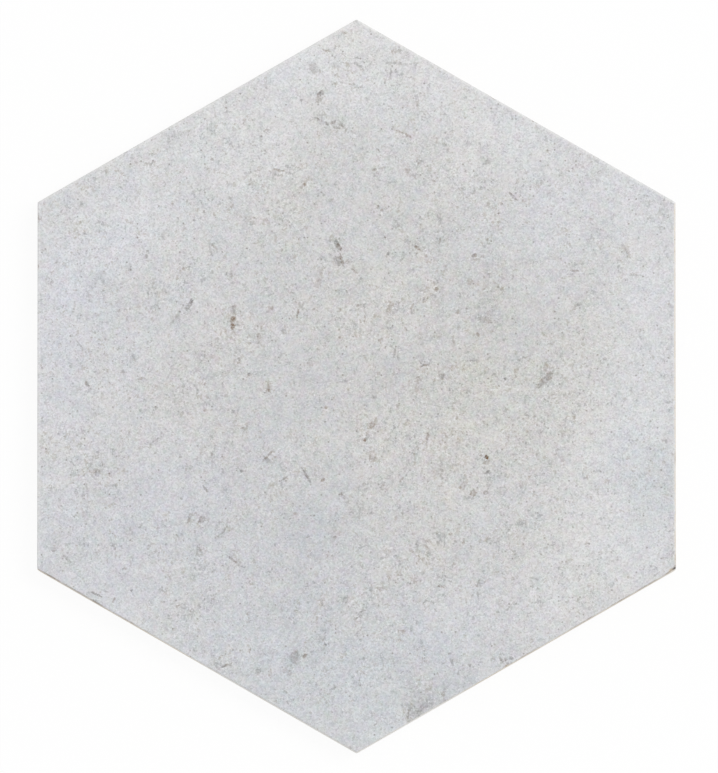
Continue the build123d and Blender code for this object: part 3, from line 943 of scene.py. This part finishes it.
def porcelain_body(nodes, place, level):
    """Colour, height and roughness of the fired body on the walls and the back."""
    speckle = nodes.noise(place, *SPECKLE)
    clouds = nodes.noise(place, *BODY_CLOUDS)
    _, sand = nodes.cells(place, BODY_SAND_SIZE)
    base = nodes.mix(nodes.spread(clouds, *NOISE_MOST), colour(BODY_TAN), colour(BODY_PALE))
    shade = nodes.varied(speckle, SPECKLE_SHADE)
    shade = nodes.times(shade, nodes.varied(sand[0], BODY_SAND_SHADE, 0.0, 1.0))
    far_from_line = nodes.math("ABSOLUTE", nodes.math("SUBTRACT", level, LAND_LOW))
    line = nodes.fade(far_from_line, *DIE_LINE)
    line = nodes.times(line, nodes.fade(clouds, *NOISE_LOWER, *DIE_LINE_SHADE))
    base = nodes.scaled(base, nodes.math("SUBTRACT", shade, line))
    far, chance = nodes.cells(place, IRON_CELL)
    dot = nodes.fade(far, *IRON_DOT, 0.0, IRON_STRENGTH)
    base = nodes.mix(nodes.times(dot, nodes.fade(chance[0], *IRON_CHANCE)), base, colour(BODY_DARK))
    wash = nodes.times(nodes.fade(level, *WASH_LEVELS), nodes.fade(speckle, *NOISE_LOWER, *WASH_COVER))
    base = nodes.mix(wash, base, colour(KILN_WASH))
    height = nodes.math("ADD", speckle, nodes.times(sand[0], BODY_SAND_HEIGHT))
    return base, nodes.math("SUBTRACT", height, line), nodes.spread(speckle, *NOISE_WIDE, *BODY_ROUGH)


def reaches(nodes, level, place, end, size, waver, fade):
    """How far a coat that ends at a level, with a wavering edge, covers each place of the wall."""
    waves = nodes.spread(nodes.noise(place, size), *NOISE_MOST, -waver, waver)
    over = nodes.math("SUBTRACT", nodes.math("ADD", level, waves), nodes.field(end))
    return nodes.fade(over, -fade, fade)


def edge_darkened(nodes, place, base):
    """The colour with the edge's ragged dark marks over it, brown where they are faint and black where
    strong.
    """
    strength = nodes.field("edge_dark")
    ragged = nodes.noise(place, *EDGE_DARK_NOISE)
    cover = nodes.times(strength, nodes.spread(ragged, *NOISE_MOST, *EDGE_DARK_RAGGED))
    shade = nodes.mix(nodes.fade(strength, *EDGE_DARK_THICK), colour(EDGE_DARK_BROWN), colour(EDGE_DARK_BLACK))
    return nodes.mix(nodes.fade(cover, 0.0, 1.0), base, shade)


def tile_material():
    """Matt glaze and print over pale engobe and a cream porcelain body, which show on the walls."""
    material = bpy.data.materials.new("slate_look_porcelain")
    nodes = Nodes(material)
    place = nodes.scaled(nodes.new("ShaderNodeTexCoord").outputs["Object"], 1 / MM)
    level = nodes.new("ShaderNodeSeparateXYZ", {"Vector": place}).outputs["Z"]
    face_colour, face_height, face_rough = printed_face(nodes, place)
    body_colour, body_height, body_rough = porcelain_body(nodes, place, level)
    whole = nodes.fade(nodes.field("chip"), *CHIP_BARE)
    glaze = nodes.times(whole, reaches(nodes, level, place, "glaze_end", *GLAZE_EDGE))
    spray = nodes.fade(nodes.noise(place, *SPRAY), *NOISE_LOWER, *SPRAY_COVER)
    engobe = nodes.times(whole, reaches(nodes, level, place, "engobe_end", *ENGOBE_EDGE))
    engobe = nodes.times(engobe, spray)
    base = nodes.mix(engobe, body_colour, colour(ENGOBE))
    # the edge darker in places, most of all in its chips
    base = edge_darkened(nodes, place, nodes.mix(glaze, base, face_colour))
    height = nodes.between(glaze, body_height, face_height)
    bump = nodes.new("ShaderNodeBump", {"Strength": 1.0, "Distance": BUMP_DEPTH * MM, "Height": height})
    shader = nodes.new("ShaderNodeBsdfPrincipled", {
        "Base Color": base,
        "Roughness": nodes.between(glaze, body_rough, face_rough),
        "Normal": bump.outputs["Normal"],
        "Specular IOR Level": SPECULAR,
    })
    nodes.new("ShaderNodeOutputMaterial", {"Surface": shader.outputs[0]})
    return material


# Stage: floor, light and camera

def floor_material():
    """A white floor: mostly plain white to the camera, with the tile's shadow on it."""
    material = bpy.data.materials.new("white_floor")
    nodes = Nodes(material)
    matt = nodes.new("ShaderNodeBsdfDiffuse", {"Color": FLOOR_WHITE}).outputs[0]
    glow = nodes.new("ShaderNodeEmission", {"Color": WHITE, "Strength": 1.0}).outputs[0]
    seen = nodes.new("ShaderNodeLightPath").outputs["Is Camera Ray"]
    share = nodes.times(seen, FLOOR_GLOW)
    mixed = nodes.new("ShaderNodeMixShader", {0: share, 1: matt, 2: glow}).outputs[0]
    nodes.new("ShaderNodeOutputMaterial", {"Surface": mixed})
    return material


def make_floor():
    """A floor that reaches past what any view sees."""
    mesh = bpy.data.meshes.new("floor")
    half = FLOOR_SIZE / 2
    corners = [(-half, -half, 0), (half, -half, 0), (half, half, 0), (-half, half, 0)]
    mesh.from_pydata(corners, [], [(0, 1, 2, 3)])
    floor = bpy.data.objects.new("floor", mesh)
    floor.location.z = -FLOOR_GAP
    bpy.context.scene.collection.objects.link(floor)
    floor.data.materials.append(floor_material())


def make_world():
    """Even white light from all round, and plain white where the camera sees past the floor."""
    world = bpy.data.worlds.new("studio")
    bpy.context.scene.world = world
    nodes = Nodes(world)
    around = nodes.new("ShaderNodeBackground", {"Color": WHITE, "Strength": SKY_LIGHT}).outputs[0]
    behind = nodes.new("ShaderNodeBackground", {"Color": WHITE, "Strength": 1.0}).outputs[0]
    seen = nodes.new("ShaderNodeLightPath").outputs["Is Camera Ray"]
    mixed = nodes.new("ShaderNodeMixShader", {0: seen, 1: around, 2: behind}).outputs[0]
    nodes.new("ShaderNodeOutputWorld", {"Surface": mixed})


def make_key_light():
    """A large soft lamp above, to the right."""
    turn, rise = math.radians(KEY_AZIMUTH), math.radians(KEY_ELEVATION)
    toward = Vector((math.cos(turn) * math.cos(rise), math.sin(turn) * math.cos(rise), math.sin(rise)))
    lamp = bpy.data.lights.new("key", "AREA")
    lamp.shape = "DISK"
    lamp.size = KEY_SIZE
    lamp.energy = KEY_LIGHT * math.pi ** 2 * KEY_DISTANCE ** 2 / math.sin(rise)
    key = bpy.data.objects.new("key", lamp)
    key.location = toward * KEY_DISTANCE
    key.rotation_mode = "QUATERNION"
    key.rotation_quaternion = toward.to_track_quat("Z", "Y")
    bpy.context.scene.collection.objects.link(key)


def make_camera():
    """A camera far above the tile, tilted a little so that it sees the lower walls."""
    lens = bpy.data.cameras.new("camera")
    lens.sensor_width = SENSOR
    lens.lens = SENSOR * CAMERA_DISTANCE / FRAME_HEIGHT
    lens.clip_end = CLIP_END
    camera = bpy.data.objects.new("camera", lens)
    turn = Matrix.Rotation(math.radians(TILT), 4, "X")
    back = turn @ Vector((0.0, 0.0, 1.0))
    camera.matrix_world = Matrix.Translation((Vector(AIM) + back * CAMERA_DISTANCE) * MM) @ turn
    bpy.context.scene.collection.objects.link(camera)
    bpy.context.scene.camera = camera


tile = tile_piece()
tile.data.materials.append(tile_material())
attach(tile, "root")
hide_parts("tile")
make_floor()
make_world()
make_key_light()
make_camera()
bpy.context.scene.view_settings.view_transform = "Standard"

bpy.context.view_layer.update()
